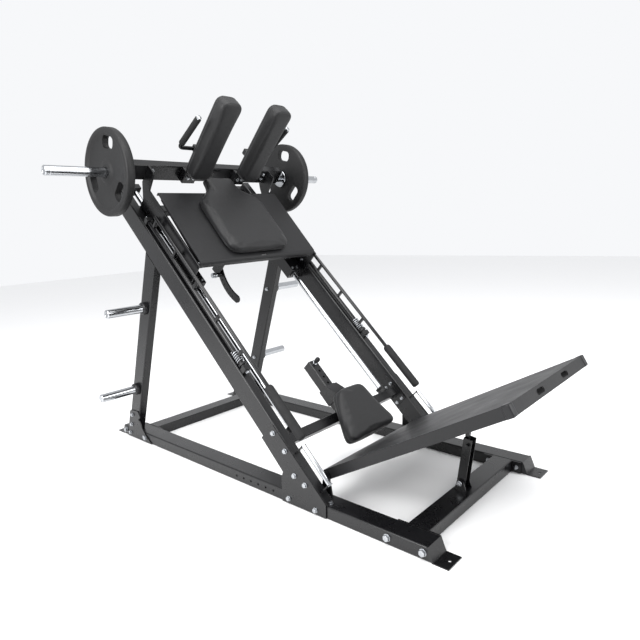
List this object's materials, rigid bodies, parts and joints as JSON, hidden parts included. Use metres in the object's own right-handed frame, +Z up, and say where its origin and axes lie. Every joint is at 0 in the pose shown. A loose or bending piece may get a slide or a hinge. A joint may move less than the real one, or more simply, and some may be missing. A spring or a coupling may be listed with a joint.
{
  "type": "leg press machine",
  "caption": "Plate-loaded 45 degree leg press and hack squat machine with sliding carriage, tilting press plate, padded back and seat, and hinged foot platform.",
  "frame": {"origin": "On the floor under the middle of the overall length and width", "axes": "+Z up; +X across the machine; +Y from the foot platform towards the raised end of the rails"},
  "size_m": [1.922, 2.5594, 1.9219],
  "materials": {
    "black_powder_coat": "satin powder coat",
    "press_powder_coat": "fine textured powder coat",
    "chrome": "polished",
    "zinc": "bright zinc plate",
    "black_rubber": "matte",
    "black_vinyl": "matte vinyl upholstery"
  },
  "bodies": {
    "frame": {"base_rail_left": "black_powder_coat", "base_rail_right": "black_powder_coat", "front_cross_tube": "black_powder_coat", "rear_cross_tube": "black_powder_coat", "upright_left": "black_powder_coat", "upright_right": "black_powder_coat", "rear_gusset_left": "black_powder_coat", "rear_gusset_right": "black_powder_coat", "lower_gusset_left": "black_powder_coat", "lower_gusset_right": "black_powder_coat", "lower_storage_horn_left": "chrome", "lower_storage_horn_right": "chrome", "upper_storage_horn_left": "chrome", "upper_storage_horn_right": "chrome", "incline_rail_left": "black_powder_coat", "incline_rail_right": "black_powder_coat", "guard_bar_left": "chrome", "guard_bar_right": "chrome", "guide_rod_left": "chrome", "guide_rod_right": "chrome", "rod_bumper_left": "black_rubber", "rod_bumper_right": "black_rubber", "lower_cross_tube": "black_powder_coat", "top_cross_tube": "black_powder_coat", "seat_post": "black_powder_coat"},
    "carriage": {"carriage_beam": "black_powder_coat", "carriage_side_left": "black_powder_coat", "carriage_side_right": "black_powder_coat", "lower_bearing_housing_left": "black_powder_coat", "lower_bearing_housing_right": "black_powder_coat", "upper_bearing_housing_left": "black_powder_coat", "upper_bearing_housing_right": "black_powder_coat", "carriage_cross_tube": "black_powder_coat", "weight_sleeve_left": "chrome", "weight_sleeve_right": "chrome", "shoulder_pad_left": "black_vinyl", "shoulder_pad_right": "black_vinyl", "shoulder_arm_left": "black_powder_coat", "shoulder_arm_right": "black_powder_coat"},
    "left_plate": {"weight_plate_left": "black_rubber"},
    "right_plate": {"weight_plate_right": "black_rubber"},
    "press": {"press_plate": "press_powder_coat", "quadrant_arm": "black_powder_coat", "back_pad": "black_vinyl"},
    "tilt_lock": {"tilt_pin": "zinc"},
    "left_handle": {"hack_handle_left": "black_powder_coat", "hack_grip_left": "black_rubber"},
    "right_handle": {"hack_handle_right": "black_powder_coat", "hack_grip_right": "black_rubber"},
    "left_rack": {"lock_rack_left": "black_powder_coat", "lock_grip_left": "black_rubber"},
    "right_rack": {"lock_rack_right": "black_powder_coat", "lock_grip_right": "black_rubber"},
    "seat": {"seat_carrier": "black_powder_coat", "seat_pad": "black_vinyl"},
    "seat_lock": {"seat_stop_pin": "zinc"},
    "platform": {"foot_platform": "press_powder_coat"},
    "prop": {"prop_strut": "black_powder_coat"}
  },
  "joints": [
    {"name": "carriage_slide", "type": "slide", "parent": "frame", "child": "carriage", "axis": [0, 0.7071, 0.7071], "range_m": [-0.7, 0.06]},
    {"name": "plate_left_slide", "type": "slide", "parent": "carriage", "child": "left_plate", "axis": [-1, 0, 0], "range_m": [0, 0.29]},
    {"name": "plate_right_slide", "type": "slide", "parent": "carriage", "child": "right_plate", "axis": [1, 0, 0], "range_m": [0, 0.29]},
    {"name": "press_plate_tilt", "type": "hinge", "parent": "carriage", "child": "press", "pos_m": [0, 0.35592, 1.08046], "axis": [1, 0, 0], "range_deg": [0, 35]},
    {"name": "tilt_pin_pull", "type": "slide", "parent": "carriage", "child": "tilt_lock", "axis": [-1, 0, 0], "range_m": [0, 0.015], "stiffness_N_per_m": 400, "springref_m": -0.01},
    {"name": "hack_handle_left_swing", "type": "hinge", "parent": "carriage", "child": "left_handle", "pos_m": [-0.316, 0.59562, 1.69069], "axis": [1, 0, 0], "range_deg": [0, 30]},
    {"name": "hack_handle_right_swing", "type": "hinge", "parent": "carriage", "child": "right_handle", "pos_m": [0.316, 0.59562, 1.69069], "axis": [1, 0, 0], "range_deg": [0, 30]},
    {"name": "lock_rack_left_turn", "type": "hinge", "parent": "frame", "child": "left_rack", "pos_m": [-0.471, 0.3149, 0.91217], "axis": [0, -0.7071, -0.7071], "range_deg": [0, 35], "stiffness_Nm_per_rad": 8, "springref_deg": -17.19},
    {"name": "lock_rack_right_turn", "type": "hinge", "parent": "frame", "child": "right_rack", "pos_m": [0.471, 0.3149, 0.91217], "axis": [0, 0.7071, 0.7071], "range_deg": [0, 35], "stiffness_Nm_per_rad": 8, "springref_deg": -17.19},
    {"name": "seat_slide", "type": "slide", "parent": "frame", "child": "seat", "axis": [0, 0.7071, 0.7071], "range_m": [0, 0.12]},
    {"name": "seat_stop_pin_pull", "type": "slide", "parent": "frame", "child": "seat_lock", "axis": [0, -0.7071, 0.7071], "range_m": [0, 0.02]},
    {"name": "platform_tilt", "type": "hinge", "parent": "frame", "child": "platform", "pos_m": [0, -0.43057, 0.14545], "axis": [-1, 0, 0], "range_deg": [0, 40]},
    {"name": "prop_swing", "type": "hinge", "parent": "frame", "child": "prop", "pos_m": [0, -0.8893, 0.092], "axis": [1, 0, 0], "range_deg": [0, 55]}
  ]
}
